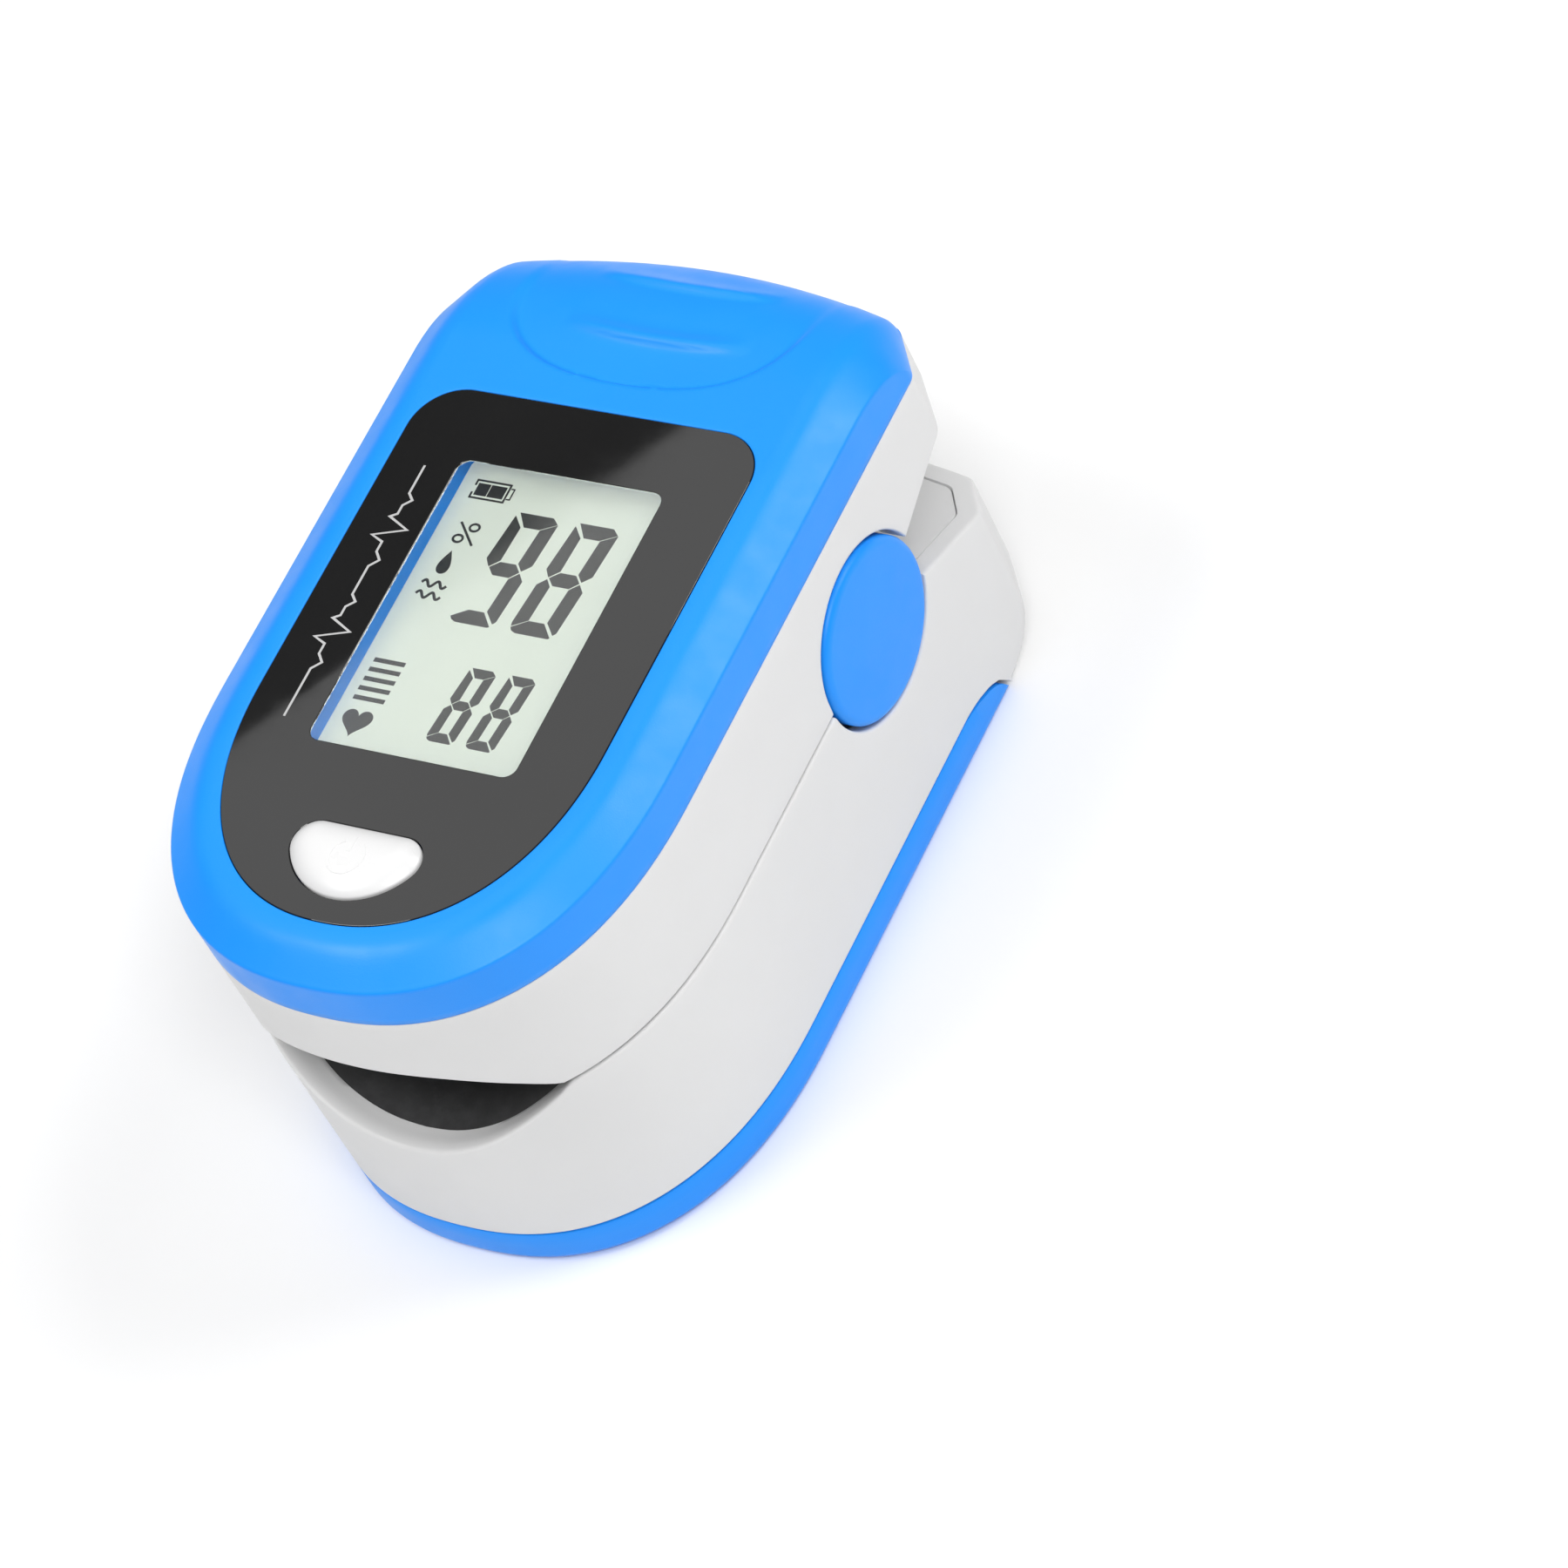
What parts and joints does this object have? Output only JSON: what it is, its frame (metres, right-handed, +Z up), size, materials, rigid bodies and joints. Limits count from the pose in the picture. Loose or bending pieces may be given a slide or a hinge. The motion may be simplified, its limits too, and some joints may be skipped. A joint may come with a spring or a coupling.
{
  "type": "fingertip pulse oximeter",
  "caption": "Fingertip pulse oximeter: sprung clamshell jaws with padded finger channel, framed display, half-moon power button, ribbed thumb grip and sliding battery door.",
  "frame": {"origin": "centre of the flat base, under the middle of the overall length", "axes": "+Z up through the display, -Y out of the finger mouth, +Y towards the pinch end, X across the width"},
  "size_m": [0.0348, 0.0598, 0.0336],
  "materials": {
    "white_shell": "satin moulded",
    "grey_frame": "fine matte",
    "pad_rubber": "soft matte silicone",
    "clear_lens": "polished clear",
    "black_component": "matte",
    "circuit_board": "lacquered",
    "battery_jacket": "satin jacket",
    "contact_metal": "nickel plated",
    "steel": "bright",
    "blue_shell": "satin moulded",
    "black_gloss": "high gloss",
    "lcd_glass": "smooth glass",
    "light_box": "smooth",
    "led_red": "polished",
    "button_white": "satin"
  },
  "bodies": {
    "lower_jaw": {"lower_case": "white_shell", "lower_frame": "grey_frame", "lower_pad": "pad_rubber", "sensor_window": "clear_lens", "photodiode": "black_component", "sensor_board": "circuit_board", "battery_left": "battery_jacket", "battery_right": "battery_jacket", "contact_plate_rear": "contact_metal", "contact_tab_left": "contact_metal", "contact_tab_right": "contact_metal", "contact_spring_left": "contact_metal", "contact_spring_right": "contact_metal", "hinge_axle": "steel", "torsion_spring": "steel", "pivot_cap_left": "blue_shell", "pivot_cap_right": "blue_shell", "lower_screw_left": "steel", "lower_screw_right": "steel"},
    "upper_jaw": {"upper_cover": "blue_shell", "display_panel": "black_gloss", "display_window": "clear_lens", "lcd_module": "lcd_glass", "backlight": "light_box", "main_board": "circuit_board", "processor_chip": "black_component", "tact_switch": "black_component", "emitter_led": "led_red", "emitter_board": "circuit_board", "emitter_window": "clear_lens", "upper_case": "white_shell", "upper_frame": "grey_frame", "upper_pad": "pad_rubber", "board_screw_left": "steel", "board_screw_right": "steel"},
    "button": {"power_button": "button_white", "switch_plunger": "button_white"},
    "door": {"battery_door": "blue_shell"}
  },
  "joints": [
    {"name": "jaw_hinge", "type": "hinge", "parent": "lower_jaw", "child": "upper_jaw", "pos_m": [0, 0.0112, 0.01816], "axis": [-1, 0, 0], "range_deg": [0, 30], "stiffness_Nm_per_rad": 0.06, "springref_deg": -45.84, "deforming": ["torsion_spring"]},
    {"name": "button_press", "type": "slide", "parent": "upper_jaw", "child": "button", "axis": [0, 0, -1], "range_m": [0, 0.0004], "stiffness_N_per_m": 1500, "springref_m": -0.0006},
    {"name": "door_slide", "type": "slide", "parent": "lower_jaw", "child": "door", "axis": [0, -1, 0], "range_m": [0, 0.048]}
  ]
}
